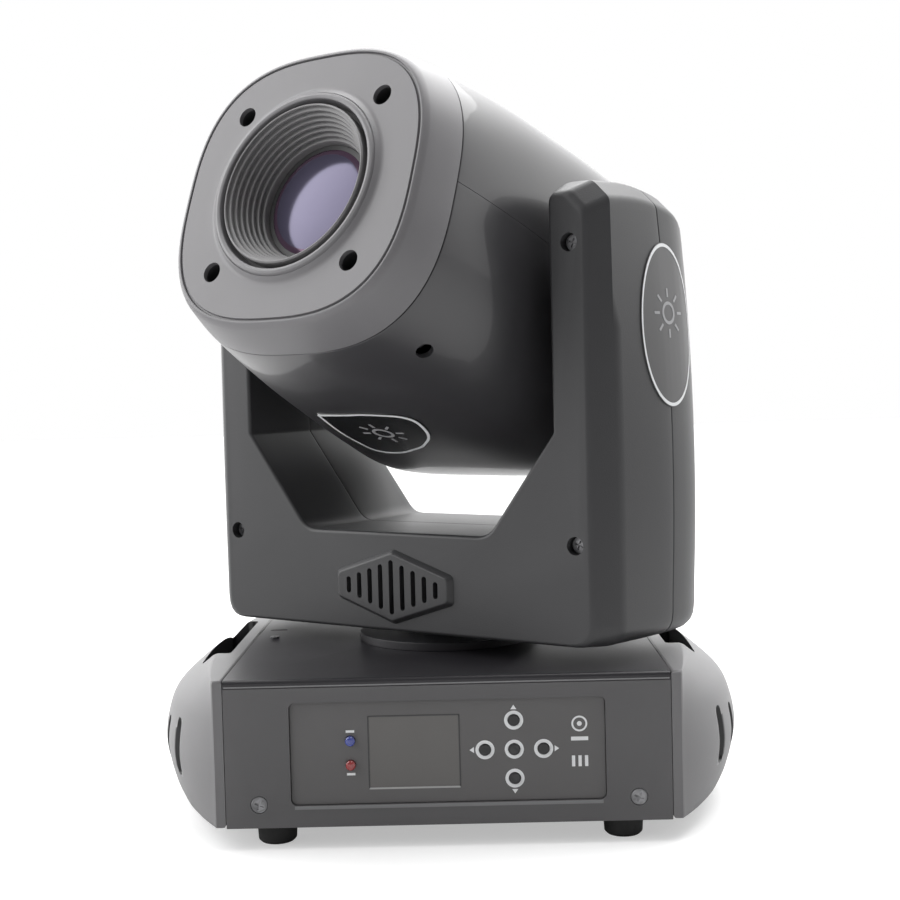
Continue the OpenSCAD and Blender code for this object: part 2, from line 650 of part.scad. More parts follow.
module head_screws() color("#26262a") in_head() {
    bezel_holes(hole_r - 1, bezel_y - 7.4, bezel_y - 5.1);
    lower_screw_places() translate([0, 0, -half_at(lower_screw_y) - 4]) cylinder(r = 3.6, h = 4, $fn = FINE);
}

module tilt_shafts() color("#a9acb0") in_head() both_sides()
    ring_x(0, 0, shaft_r, shaft_bore, 64, tilt_belt_x + 5);
module tilt_pulley() color("#b9bcc0") in_head()
    ring_x(0, 0, tilt_wheel_r, shaft_r + 0.02, tilt_belt_x - 3.5, tilt_belt_x + 3.5);

// Folded-plate frame inside the head: two sides, three cross plates and two guide rods
module head_chassis() color("#8f9296") in_head() difference() {
    union() {
        both_sides() box(62, 64, -98, 44, -45, 45);
        for (y = [-99.8, -32, 22]) box(-62, 62, y, y + 2, -45, 45);
        both_sides() bar_y(48, 0, 3, -98, -31, FINE);
    }
    bar_y(0, 0, 36, -102, -97);
    bar_y(0, 0, 20, -33, -29);
    bar_y(0, 0, 20, 21, 25);
}

module led_module() color("#e8e2c8") in_head() union() {
    box(-25, 25, 40, 44, -25, 25);
    bar_y(0, 0, 11, 38.6, 40);
}
module heat_sink() color("#9ea1a5") in_head() union() {
    box(-64, 64, 44, 50, -52, 52);
    for (i = [0 : 12]) box(-51.4 + i * 8.4, -49.4 + i * 8.4, 49, 74, -52, 52);
}

// Lens surround in one turned piece: raised ring, groove, inner lip and a throat that narrows by steps
module lens_barrel() color("#77757a") in_head() rotate([90, 0, 0]) rotate_extrude($fn = SMOOTH)
    polygon(concat(
        [[ring_r, face_ahead - 8], [ring_r, crest_y - 2.2], [ring_r - 1.6, crest_y], [ring_r - 3, crest_y],
         [groove_r, crest_y - 0.8], [groove_r, face_ahead - 4], [lip_r, face_ahead - 4],
         [lip_r, crest_y - 0.4], [lip_r - 1, crest_y], [throat_r, crest_y]],
        [for (i = [1 : steps], corner = [0, 1])
            [throat_r - (i - 1 + corner) * step_r, crest_y - i * step_d]],
        [[lens_r, lens_front - 9], [lens_r + 4, lens_front - 9], [lens_r + 4, -barrel_y],
         [ring_r - 8, -barrel_y], [ring_r - 8, face_ahead - 8]]));

// Convex front lens, seated in the end of the throat
module front_lens() color("#9a93b5") in_head() rotate([90, 0, 0]) rotate_extrude($fn = SMOOTH)
    polygon(concat(
        [[0, lens_front - 8.9], [lens_r - 0.05, lens_front - 8.9], [lens_r - 0.05, lens_front - 5]],
        [for (i = [1 : 8]) let (r = (lens_r - 0.05) * (1 - i / 8))
            [r, lens_front - 5 * pow(r / lens_r, 2)]]));

module focus_carriage() color("#2e3033") in_head() difference() {
    union() {
        bar_y(0, 0, 36, -70, -60);
        both_sides() box(30, 54, -70, -60, -7, 7);
    }
    bar_y(0, 0, 28, -71, -59);
    both_sides() bar_y(48, 0, 3 + fit, -71, -59, FINE);
}
module focus_lens() color("#b7c6d8") in_head() bar_y(0, 0, 27.9, -68, -62);

// Wheel with a ring of round windows that cross the optical axis, on its own hub
module filter_wheel(z, r, y, hub_y) difference() {
    union() {
        bar_y(0, z, r, y, y + 1.6);
        bar_y(0, z, 4, hub_y, y + 3, FINE);
    }
    for (i = [0 : 7]) translate([0, 0, z]) rotate([0, 45 * i, 0]) bar_y(34, 0, 9, y - 1, y + 3, FINE);
}
module gobo_wheel() color("#55585c") in_head() filter_wheel(34, 46, 6, -7.6);
module colour_wheel() color("#6a8fc0") in_head() filter_wheel(-34, 46, 14, -7.6);
module wheel_motors() color("#2e3033") in_head() for (z = [-34, 34]) bar_y(0, z, 14, -30, -8);

module fan_frame() color("#1d1d1f") in_head() difference() {
    box(-46, 46, 75, 86, -46, 46);
    bar_y(0, 0, 43, 74, 84);
    for (i = [0 : 3]) rotate([0, 45 + 90 * i, 0]) box(22, 41, 83, 87, -12, 12);
}
module fan_rotor() color("#27272a") in_head() union() {
    bar_y(0, 0, 17, 76, 83.4);
    for (i = [0 : 6]) rotate([0, i * 360 / 7, 0]) translate([15, 79.6, 0]) rotate([35, 0, 0])
        box(0, 26, -0.6, 0.6, -6, 6);
}

base_pan();
base_front_panel();
base_top_cover();
base_rear_panel();
handle_left();
handle_right();
display_panel();
lcd_screen();
button_up();
button_down();
button_left();
button_right();
button_enter();
status_leds();
rubber_feet();
power_inlet();
dmx_in_socket();
dmx_out_socket();
fuse_holder();
power_supply();
control_board();
base_screws();
bracket_sockets();
safety_loop();
turntable_ring();
pan_post();
yoke_frame();
yoke_front_shell();
yoke_rear_shell();
arm_badges();
yoke_screws();
pan_bearing();
pan_motor();
pan_motor_pulley();
pan_belt();
tilt_motor();
tilt_motor_pulley();
tilt_belt();
tilt_bearings();
head_bezel();
head_upper_shell();
head_lower_shell();
head_rear_cap();
head_badge();
head_screws();
tilt_pulley();
tilt_shafts();
head_chassis();
led_module();
heat_sink();
lens_barrel();
front_lens();
focus_carriage();
focus_lens();
gobo_wheel();
colour_wheel();
wheel_motors();
fan_frame();
fan_rotor();
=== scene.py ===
import json
from math import asin, atan2, cos, pi, radians, sin, sqrt, tan

import bmesh
import bpy
from mathutils import Matrix, Vector


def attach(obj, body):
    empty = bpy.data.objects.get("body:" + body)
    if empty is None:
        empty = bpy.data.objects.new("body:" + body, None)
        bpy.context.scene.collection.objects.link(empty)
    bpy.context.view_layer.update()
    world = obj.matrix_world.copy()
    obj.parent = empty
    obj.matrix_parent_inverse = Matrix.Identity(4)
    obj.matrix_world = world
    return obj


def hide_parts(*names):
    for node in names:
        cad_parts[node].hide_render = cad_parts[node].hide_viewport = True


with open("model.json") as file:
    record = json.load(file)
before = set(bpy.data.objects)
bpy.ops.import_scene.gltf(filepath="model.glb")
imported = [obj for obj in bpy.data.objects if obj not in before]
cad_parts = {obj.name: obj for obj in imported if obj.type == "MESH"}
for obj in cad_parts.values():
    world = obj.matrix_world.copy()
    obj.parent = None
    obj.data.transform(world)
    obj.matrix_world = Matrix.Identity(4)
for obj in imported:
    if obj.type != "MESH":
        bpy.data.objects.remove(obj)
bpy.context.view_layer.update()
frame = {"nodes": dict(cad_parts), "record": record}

# ---------- Places: the three frames that move with the base, the yoke and the head ----------

MM = 0.001
SHARP = 32          # degrees; edges that bend more than this stay sharp
THROUGH = 9         # how far a cutter reaches past the surface that it cuts
joints = {j["name"]: j for j in frame["record"]["behaviour"]["joints"]}
UP = Vector((0, 0, 1))
yoke_right = -Vector(joints["tilt"]["axis"])
lens_ahead = Vector(joints["focus"]["axis"])
tilt_point = Vector(joints["tilt"]["pos_m"])


def place_of(right, back, origin):
    """The matrix of a frame with +X to the right and +Y to the back, at origin."""
    columns = [right, back, right.cross(back), origin]
    place = Matrix.Identity(4)
    for i, column in enumerate(columns):
        place.col[i][:3] = column
    return place


BASE = Matrix.Identity(4)
YOKE = place_of(yoke_right, UP.cross(yoke_right), Vector((0, 0, 0)))
HEAD = place_of(yoke_right, -lens_ahead, tilt_point)


def local_box(node, place):
    """(lowest, highest) corner of a CAD node in one of those frames, in millimetres."""
    inverse = place.inverted()
    points = [inverse @ v.co for v in frame["nodes"][node].data.vertices]
    low = [min(p[i] for p in points) / MM for i in range(3)]
    high = [max(p[i] for p in points) / MM for i in range(3)]
    return low, high


# ---------- Materials ----------

def noise(material, where, scale, detail):
    """A noise texture's value, placed by the object's own coordinates."""
    texture = material.node_tree.nodes.new("ShaderNodeTexNoise")
    texture.inputs["Scale"].default_value = scale
    texture.inputs["Detail"].default_value = detail
    material.node_tree.links.new(where, texture.inputs["Vector"])
    return texture.outputs["Fac"]


def vary_colour(material, clouds, colour, spread, wear_and_highlight):
    """Lets the colour wander a little with the clouds and grow paler on sharp outer edges, partly as
    scuffs and partly as a painted highlight.
    """
    nodes, links = material.node_tree.nodes, material.node_tree.links
    tone = nodes.new("ShaderNodeMix")
    tone.data_type = "RGBA"
    tone.inputs["A"].default_value = [c * (1 - spread) for c in colour] + [1]
    tone.inputs["B"].default_value = [c * (1 + spread) for c in colour] + [1]
    links.new(clouds, tone.inputs["Factor"])
    # Convex edges found by pointiness grow paler: partly scuffs, partly a painted edge highlight.
    edges = nodes.new("ShaderNodeMapRange")
    edges.inputs["From Min"].default_value = 0.54
    edges.inputs["From Max"].default_value = 0.68
    edges.inputs["To Max"].default_value = wear_and_highlight
    links.new(nodes.new("ShaderNodeNewGeometry").outputs["Pointiness"], edges.inputs["Value"])
    worn_and_lit = nodes.new("ShaderNodeMix")
    worn_and_lit.data_type = "RGBA"
    worn_and_lit.inputs["B"].default_value = [min(1, c * 2.2 + 0.05) for c in colour] + [1]
    links.new(edges.outputs["Result"], worn_and_lit.inputs["Factor"])
    links.new(tone.outputs["Result"], worn_and_lit.inputs["A"])
    links.new(worn_and_lit.outputs["Result"], nodes["Principled BSDF"].inputs["Base Color"])


def vary_gloss(material, clouds, roughness):
    nodes, links = material.node_tree.nodes, material.node_tree.links
    gloss = nodes.new("ShaderNodeMapRange")
    gloss.inputs["To Min"].default_value = roughness * 0.9
    gloss.inputs["To Max"].default_value = min(1, roughness * 1.12)
    links.new(clouds, gloss.inputs["Value"])
    links.new(gloss.outputs["Result"], nodes["Principled BSDF"].inputs["Roughness"])


def add_grain(material, where, strength, size):
    nodes, links = material.node_tree.nodes, material.node_tree.links
    bump = nodes.new("ShaderNodeBump")
    bump.inputs["Strength"].default_value = strength
    bump.inputs["Distance"].default_value = 0.0002
    links.new(noise(material, where, 1 / size, 3), bump.inputs["Height"])
    links.new(bump.outputs["Normal"], nodes["Principled BSDF"].inputs["Normal"])


def shader(name, colour, roughness, metallic=0.0, spread=0.12, grain=0.0, grain_size=0.0006,
           wear_and_highlight=0.0, coat=0.0, ior=1.5):
    """A surface with a little colour and gloss variation, a fine grain and paler sharp edges, partly
    scuffs and partly painted highlight.
    """
    material = bpy.data.materials.new(name)
    material.use_nodes = True
    surface = material.node_tree.nodes["Principled BSDF"]
    surface.inputs["Metallic"].default_value = metallic
    surface.inputs["IOR"].default_value = ior
    surface.inputs["Coat Weight"].default_value = coat
    where = material.node_tree.nodes.new("ShaderNodeTexCoord").outputs["Object"]
    clouds = noise(material, where, 22, 6)
    vary_colour(material, clouds, colour, spread, wear_and_highlight)
    vary_gloss(material, clouds, roughness)
    if grain:
        add_grain(material, where, grain, grain_size)
    return material


def glass(name, colour, roughness):
    """Coated glass: tinted, glossy and mostly clear."""
    material = shader(name, colour, roughness, spread=0.04, coat=1.0, ior=1.7)
    material.node_tree.nodes["Principled BSDF"].inputs["Transmission Weight"].default_value = 0.35
    return material


front_plastic = shader("front_plastic", (0.082, 0.080, 0.083), 0.42, grain=0.25, wear_and_highlight=0.25)
handle_plastic = shader("handle_plastic", (0.126, 0.124, 0.128), 0.40, grain=0.2, wear_and_highlight=0.25)
yoke_plastic = shader("yoke_plastic", (0.029, 0.029, 0.031), 0.42, grain=0.3, wear_and_highlight=0.3)
head_plastic = shader("head_plastic", (0.036, 0.035, 0.038), 0.34, grain=0.12, wear_and_highlight=0.2, coat=0.3)
bezel_plastic = shader("bezel_plastic", (0.132, 0.129, 0.135), 0.38, grain=0.15, wear_and_highlight=0.03)
black_plastic = shader("black_plastic", (0.016, 0.016, 0.017), 0.38, grain=0.15, wear_and_highlight=0.25)
baffle_plastic = shader("baffle_plastic", (0.135, 0.132, 0.135), 0.36, grain=0.1)
painted_sheet = shader("painted_sheet", (0.014, 0.013, 0.016), 0.42, grain=0.3, grain_size=0.0012,
                       wear_and_highlight=0.3)
panel_film = shader("panel_film", (0.103, 0.100, 0.101), 0.55, grain=0.25, grain_size=0.0004)
screen_film = shader("screen_film", (0.084, 0.079, 0.076), 0.28, coat=0.4)
print_white = shader("print_white", (0.72, 0.73, 0.74), 0.5)
print_grey = shader("print_grey", (0.30, 0.30, 0.31), 0.5)
# Pale and grey colours for painted highlights along edges of the base front.
highlight_pale = shader("highlight_pale", (0.34, 0.34, 0.34), 0.35)
highlight_grey = shader("highlight_grey", (0.17, 0.17, 0.175), 0.35)
badge_black = shader("badge_black", (0.012, 0.012, 0.013), 0.22, coat=0.5)
badge_grey = shader("badge_grey", (0.065, 0.064, 0.066), 0.40, grain=0.1)
rubber = shader("rubber", (0.028, 0.028, 0.028), 0.8, grain=0.5, grain_size=0.0004)
dark_steel = shader("dark_steel", (0.13, 0.13, 0.135), 0.30, metallic=0.8, wear_and_highlight=0.6)
steel = shader("steel", (0.52, 0.53, 0.55), 0.3, metallic=1.0, grain=0.1)
aluminium = shader("aluminium", (0.62, 0.63, 0.65), 0.38, metallic=1.0, grain=0.15)
circuit_green = shader("circuit_green", (0.02, 0.12, 0.05), 0.4, coat=0.3)
phosphor = shader("phosphor", (0.75, 0.68, 0.38), 0.45)
blue_diode = shader("blue_diode", (0.05, 0.07, 0.30), 0.15, coat=0.6)
red_diode = shader("red_diode", (0.28, 0.03, 0.03), 0.15, coat=0.6)
lens_glass = shader("lens_glass", (0.112, 0.103, 0.160), 0.14, metallic=0.5, spread=0.16)
lens_tint = shader("lens_tint", (0.125, 0.075, 0.120), 0.14, metallic=0.5, spread=0.16)
filter_glass = glass("filter_glass", (0.2, 0.4, 0.7), 0.1)


def paint(obj, *materials):
    obj.data.materials.clear()
    for material in materials:
        obj.data.materials.append(material)
    return obj


# ---------- Mesh helpers; all sizes in millimetres ----------

def piece(name, points, faces, place, body, material, stands_for=(), sharp=SHARP):
    """A new smooth-shaded mesh that rides on a CAD body."""
    mesh = bpy.data.meshes.new(name)
    mesh.from_pydata([place @ (Vector(p) * MM) for p in points], [], faces)
    mesh.validate()
    obj = bpy.data.objects.new(name, mesh)
    bpy.context.scene.collection.objects.link(obj)
    mesh.shade_smooth()
    mesh.set_sharp_from_angle(angle=radians(sharp))
    paint(obj, material)
    bpy.context.view_layer.update()
    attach(obj, body)
    if stands_for:
        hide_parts(*stands_for)
    return obj


def loft(name, rings, place, body, material, stands_for=(), ends="caps", sharp=SHARP):
    """Skins closed rings of the same number of points; ends are caps, or the last ring joins the first."""
    count = len(rings[0])
    points = [p for ring in rings for p in ring]
    faces = []
    spans = len(rings) if ends == "joined" else len(rings) - 1
    for k in range(spans):
        a, b = k * count, (k + 1) % len(rings) * count
        for i in range(count):
            j = (i + 1) % count
            faces.append((a + i, a + j, b + j, b + i))
    if ends == "caps":
        faces.append(tuple(range(count - 1, -1, -1)))
        faces.append(tuple(range(len(points) - count, len(points))))
    return piece(name, points, faces, place, body, material, stands_for, sharp)


def turned(name, profile, place, body, material, stands_for=(), turns=128, sharp=SHARP):
    """A solid of revolution about the head's optical axis; profile is (radius, distance ahead) points."""
    rings = []
    for i in range(turns):
        a = 2 * pi * i / turns
        rings.append([(r * cos(a), -ahead, r * sin(a)) for r, ahead in profile])
    return loft(name, rings, place, body, material, stands_for, ends="joined", sharp=sharp)


def cutter(name, points, faces, place):
    mesh = bpy.data.meshes.new(name)
    mesh.from_pydata([Vector(p) * MM for p in points], [], faces)
    obj = bpy.data.objects.new(name, mesh)
    bpy.context.scene.collection.objects.link(obj)
    obj.matrix_world = place
    return obj


def bar_cutter(outline, start, end, axis, place, turn=None):
    """A prism with the 2-D outline, along the axis "x", "y" or "z", from start to end."""
    order = {
        "x": lambda u, v, w: (w, u, v),
        "y": lambda u, v, w: (u, w, v),
        "z": lambda u, v, w: (u, v, w),
    }
    count = len(outline)
    points = [order[axis](u, v, w) for w in (start, end) for u, v in outline]
    faces = [tuple(range(count)), tuple(range(2 * count - 1, count - 1, -1))]
    for i in range(count):
        j = (i + 1) % count
        faces.append((i, i + count, j + count, j))
    return cutter("cutter", points, faces, place @ turn if turn else place)


def even_shading(obj, keep_sharp=False):
    """Lets large faces set the shading, so that flat ones look flat."""
    normals = obj.modifiers.new("normals", "WEIGHTED_NORMAL")
    normals.weight = 100
    normals.keep_sharp = keep_sharp


def join_cutters(cutters, place, inside):
    """One object at place that holds all the cutters' volumes; the cutters are removed."""
    inverse = place.inverted()
    points, faces = [], []
    for tool in cutters:
        start = len(points)
        points += [inverse @ (tool.matrix_world @ v.co) for v in tool.data.vertices]
        faces += [[start + i for i in p.vertices] for p in tool.data.polygons]
        bpy.data.objects.remove(tool)
    mesh = bpy.data.meshes.new("cutters")
    mesh.from_pydata(points, [], faces)
    if inside:
        mesh.materials.append(inside)
    joined = bpy.data.objects.new("cutters", mesh)
    bpy.context.scene.collection.objects.link(joined)
    joined.matrix_world = place
    bpy.context.view_layer.update()
    make_outward(joined)
    return joined


def cut(obj, cutters, inside=None):
    """Takes the cutters' volumes out of obj; inside is the material of the new walls."""
    bpy.context.view_layer.update()
    tool = join_cutters(cutters, obj.matrix_world, inside)
    modifier = obj.modifiers.new("cut", "BOOLEAN")
    modifier.operation = "DIFFERENCE"
    modifier.solver = "EXACT"
    if inside:
        modifier.material_mode = "TRANSFER"
    modifier.object = tool
    bpy.context.view_layer.update()
    evaluated = obj.evaluated_get(bpy.context.evaluated_depsgraph_get())
    result = bpy.data.meshes.new_from_object(evaluated)
    obj.modifiers.clear()
    obj.data = result
    result.shade_smooth()
    result.set_sharp_from_angle(angle=radians(SHARP))
    bpy.data.objects.remove(tool)
    even_shading(obj, keep_sharp=True)


def make_outward(obj):
    """Turns every face of a mesh outwards."""
    mesh = bmesh.new()
    mesh.from_mesh(obj.data)
    bmesh.ops.recalc_face_normals(mesh, faces=mesh.faces)
    mesh.to_mesh(obj.data)
    mesh.free()


def circle(u, v, r, count=40):
    return [(u + r * cos(2 * pi * i / count), v + r * sin(2 * pi * i / count)) for i in range(count)]


def slot(u, v, width, height):
    """An upright slot with round ends."""
    r = width / 2
    rise = height / 2 - r
    top = [(u + r * cos(pi * i / 12), v + rise + r * sin(pi * i / 12)) for i in range(13)]
    low = [(u - r * cos(pi * i / 12), v - rise - r * sin(pi * i / 12)) for i in range(13)]
    return top + low


def rounded(corners, steps=6):
    """A polyline through (x, z, radius) corners, with each corner turned into a smooth bend."""
    made = []
    for i, (x, z, r) in enumerate(corners):
        if r == 0:
            made.append((x, z))
            continue
        here = Vector((x, z))
        before = Vector(corners[i - 1][:2]) - here
        after = Vector(corners[(i + 1) % len(corners)][:2]) - here
        turn = pi - before.angle(after)
        reach = min(r * tan(turn / 2), before.length * 0.49, after.length * 0.49)
        a = here + before.normalized() * reach
        b = here + after.normalized() * reach
        for k in range(steps + 1):
            t = k / steps
            made.append(tuple(a * (1 - t) ** 2 + here * 2 * t * (1 - t) + b * t ** 2))
    return made


def smooth_rows(rows, parts):
    """Rows of numbers, sorted by the first one, with smooth rows put in between: parts for each gap."""
    def slope(i, k):
        if i in (0, len(rows) - 1):
            j = 1 if i == 0 else i
            return (rows[j][k] - rows[j - 1][k]) / (rows[j][0] - rows[j - 1][0])
        return (rows[i + 1][k] - rows[i - 1][k]) / (rows[i + 1][0] - rows[i - 1][0])

    made = []
    for i in range(len(rows) - 1):
        span = rows[i + 1][0] - rows[i][0]
        for part in range(parts):
            t = part / parts
            row = [rows[i][0] + span * t]
            for k in range(1, len(rows[i])):
                h = (2 * t ** 3 - 3 * t ** 2 + 1) * rows[i][k]
                h += (3 * t ** 2 - 2 * t ** 3) * rows[i + 1][k]
                h += (t ** 3 - 2 * t ** 2 + t) * span * slope(i, k)
                h += (t ** 3 - t ** 2) * span * slope(i + 1, k)
                row.append(h)
            made.append(row)
    made.append(list(rows[-1]))
    return made


def polish(node, material, width=0.35, segments=2):
    """Shows a CAD node as it is, with small rounded edges."""
    obj = frame["nodes"][node]
    paint(obj, material)
    obj.data.shade_smooth()
    weld = obj.modifiers.new("weld", "WELD")
    weld.merge_threshold = 0.000004
    flat = obj.modifiers.new("flat", "DECIMATE")
    flat.decimate_type = "DISSOLVE"
    flat.angle_limit = radians(0.5)
    edge = obj.modifiers.new("edge", "BEVEL")
    edge.width = width * MM
    edge.segments = segments
    edge.limit_method = "ANGLE"
    edge.angle_limit = radians(SHARP)
    even_shading(obj)


# ---------- Head ----------

bezel_low, bezel_high = local_box("head_bezel", HEAD)
cap_low, cap_high = local_box("head_rear_cap", HEAD)
upper_low, _ = local_box("head_upper_shell", HEAD)
FACE = bezel_low[1]
BACK = cap_high[1]
SEAM = bezel_high[1]
CAP = cap_low[1]
SIDE_SEAM = upper_low[2]
FACE_HALF = 73.8
SIDE_HALF = 86      # half width of the head at its side seams
WALL = 2.6
GAP = 0.3           # half the dark lines round the head; its side seams are half as wide
BEZEL_HOLE = 5.3
BEZEL_HOLE_AT = 43.2
SHAFT_HOLE = 18
CREST = -FACE + 3.8         # the foremost point of the lens ring, ahead of the tilt axis
LENS_FRONT = CREST - 19.2
# Depth, half size and squareness of the head's section
head_rows = smooth_rows([
    (FACE, FACE_HALF, 2.8), (SEAM, 80.0, 2.8), (-60, 86.6, 3.0), (-18, 89.0, 3.4), (25, 90.2, 4.0),
    (60, 90.0, 4.4), (80, 85.0, 4.3), (BACK, 77.0, 4.0)], 8)


def head_row(y):
    """Half size and squareness of the head's section at depth y."""
    for low, high in zip(head_rows, head_rows[1:]):
        if y <= high[0]:
            t = (y - low[0]) / (high[0] - low[0])
            return [low[k] + (high[k] - low[k]) * t for k in (1, 2)]
    return head_rows[-1][1:]


def squircle_point(half, squareness, angle):
    c, s = cos(angle), sin(angle)
    r = half / (abs(c) ** squareness + abs(s) ** squareness) ** (1 / squareness)
    return r * c, r * s


def head_ring(y, inset, angles):
    half, squareness = head_row(y)
    return [(x, y, z) for x, z in (squircle_point(half - inset, squareness, a) for a in angles)]


def round_angles(count=160):
    return [2 * pi * i / count for i in range(count)]


def make_bezel():
    """The front cover: soft rim, groove, flat face with four deep screw holes and the lens opening."""
    angles = round_angles()
    rim = [(SEAM - GAP, 0), (SEAM - GAP - 1, 0)]
    rim += [(SEAM + (FACE - SEAM) * k / 6, 0) for k in range(1, 5)]
    rim += [(FACE + 4.5 * (1 - sin(radians(a))), 4.5 * (1 - cos(radians(a))) * 0.5)
            for a in (15, 35, 55, 75, 90)]
    rings = [head_ring(y, inset, angles) for y, inset in rim]
    for inset, sink in ((2.6, 0.1), (2.9, 1.2), (3.7, 1.2), (4.1, 0)):
        rings.append([(x, FACE + sink, z) for x, _, z in head_ring(FACE, inset, angles)])
    outer = rings[-1]
    cove = [[(r * cos(a), FACE - rise, r * sin(a)) for a in angles]
            for r, rise in ((53.5, 0), (52, 0.25), (50.8, 0.9), (49.9, 1.8), (49.15, 2.2))]
    for t in (0.35, 0.7):
        rings.append([tuple(Vector(a).lerp(b, t)) for a, b in zip(outer, cove[0])])
    rings += cove
    rings.append([(x, FACE + WALL, z) for x, _, z in cove[-1]])
    for y, inset in ((FACE + WALL, WALL + 6), (FACE + WALL + 6, WALL), (SEAM - GAP, WALL)):
        rings.append(head_ring(y, inset, angles))
    bezel = loft("bezel", rings, HEAD, "head", bezel_plastic, ["head_bezel"], ends="joined")
    at = (-BEZEL_HOLE_AT, BEZEL_HOLE_AT)
    holes = [(x, z) for x in at for z in at]
    cut(bezel, [bar_cutter(circle(x, z, BEZEL_HOLE), FACE - 5, FACE + 8, "y", HEAD) for x, z in holes])
    for i, (x, z) in enumerate(holes):
        make_bezel_tube(i + 1, x, z)


def make_bezel_tube(number, x, z):
    """The black tube behind a screw hole of the bezel, with a floor."""
    start, end = FACE + 0.5, SEAM - 5
    inner, outer = BEZEL_HOLE + 0.05, BEZEL_HOLE + 2

    def ring(r, y):
        return [(x + r * cos(a), y, z + r * sin(a)) for a in round_angles(40)]

    tube = [ring(inner, start), ring(inner, end), ring(outer, end), ring(outer, start)]
    loft(f"bezel_tube_{number}", tube, HEAD, "head", black_plastic, ends="joined")
    plug = [ring(BEZEL_HOLE, end + 0.2), ring(BEZEL_HOLE, end)]
    loft(f"bezel_tube_floor_{number}", plug, HEAD, "head", black_plastic)


def make_shell(name, start, end, side_angles):
    """A curved half of the head's body, from depth start to end, over some of the round."""
    depths = [start, start + 0.25, start + 0.8]
    depths += [row[0] for row in head_rows if start + 2 < row[0] < end - 2]
    depths += [end - 0.8, end - 0.25, end]
    insets = [0.5, 0.15, 0] + [0] * (len(depths) - 6) + [0, 0.15, 0.5]
    rings = []
    for y, inset in zip(depths, insets):
        outside = head_ring(y, inset, side_angles)
        inside = head_ring(y, WALL, side_angles)
        rings.append(outside + inside[::-1])
    return loft(name, rings, HEAD, "head", head_plastic, [name])


def shell_angles(seam, lower=False, count=110):
    """Angles from the side seam at that height over the top, or under the bottom, to the other one."""
    start = atan2(seam, SIDE_HALF)
    stop = pi - start
    if lower:
        start, stop = stop, 2 * pi + start
    return [start + (stop - start) * i / count for i in range(count + 1)]


def make_shells():
    start, end = SEAM + GAP, CAP - GAP
    half_gap = GAP / 2
    upper = make_shell("head_upper_shell", start, end, shell_angles(SIDE_SEAM + half_gap))
    lower = make_shell("head_lower_shell", start, end, shell_angles(SIDE_SEAM - half_gap, lower=True))
    upper.name = "upper_shell"
    lower.name = "lower_shell"
    cut(upper, [bar_cutter(circle(0, 0, SHAFT_HOLE), -100, 100, "x", HEAD)])
    tools = [bar_cutter(circle(0, 0, SHAFT_HOLE), -100, 100, "x", HEAD)]
    for angle in (-40.5, 40.5):
        turn = Matrix.Rotation(radians(angle), 4, "Y")
        tools.append(bar_cutter(circle(0, -82.8, 4.4), -120, -70, "z", HEAD, turn))
    cut(lower, tools)


def make_rear_cap():
    """The rear cover with a rounded edge and a round field of cooling slots."""
    angles = round_angles()
    outside = [(CAP, 0.5), (CAP + 0.3, 0.1), (CAP + 1, 0)]
    outside += [(row[0], 0) for row in head_rows if CAP + 2 < row[0] < BACK - 6]
    outside += [(BACK - 6 * (1 - sin(radians(a))), 6 * (1 - cos(radians(a))))
                for a in (10, 30, 50, 70, 90)]
    inside = [(CAP, WALL), (BACK - 9, WALL), (BACK - WALL, WALL + 6)]
    rings = [head_ring(y, inset, angles) for y, inset in inside[::-1] + outside]
    cap = loft("rear_cap", rings, HEAD, "head", head_plastic, ["head_rear_cap"])
    tools = []
    for i in range(10):
        z = (i - 4.5) * 11
        length = 2 * sqrt(58 ** 2 - z ** 2)
        outline = [(u, v + z) for v, u in slot(0, 0, 5, length)]
        tools.append(bar_cutter(outline, BACK - THROUGH, BACK + THROUGH, "y", HEAD))
    cut(cap, tools)


def make_lens_surround():
    """Raised ring, dark groove, inner lip and a throat that narrows in rounded steps."""
    steps, depth = 7, 2.75
    wide, narrow = 40.4, 31.0
    end = CREST - depth * steps - 9
    ring = [(49.1, CREST - 9, 0), (49.1, CREST - 1.8, 0), (48.3, CREST - 0.5, 0.7), (46.9, CREST, 1.0),
            (45.4, CREST - 0.5, 0.8), (44.6, CREST - 7, 0), (44.6, CREST - 9, 0)]
    turned("lens_ring", rounded(ring, 4), HEAD, "head", bezel_plastic)
    profile = [(44.5, CREST - 9, 0), (44.5, CREST - 7.5, 0), (42.8, CREST - 7, 0.3),
               (42.8, CREST - 0.8, 0.5), (42.0, CREST, 0.5), (41.2, CREST - 0.5, 0.4)]
    for i in range(steps):
        r = wide - (wide - narrow) * i / steps
        z = CREST - 1 - depth * i
        profile += [(r + 1.9, z - 0.2, 0.2), (r + 1.9, z - 1.3, 0.2)]
        profile += [(r - 0.4, z - 1.6, 0.3), (r - 0.7, z - 2.4, 0.4)]
    profile += [(narrow, end, 0), (35, end, 0), (35, 100, 0), (41, 100, 0)]
    turned("lens_surround", rounded(profile, 3), HEAD, "head", baffle_plastic, ["lens_barrel"])


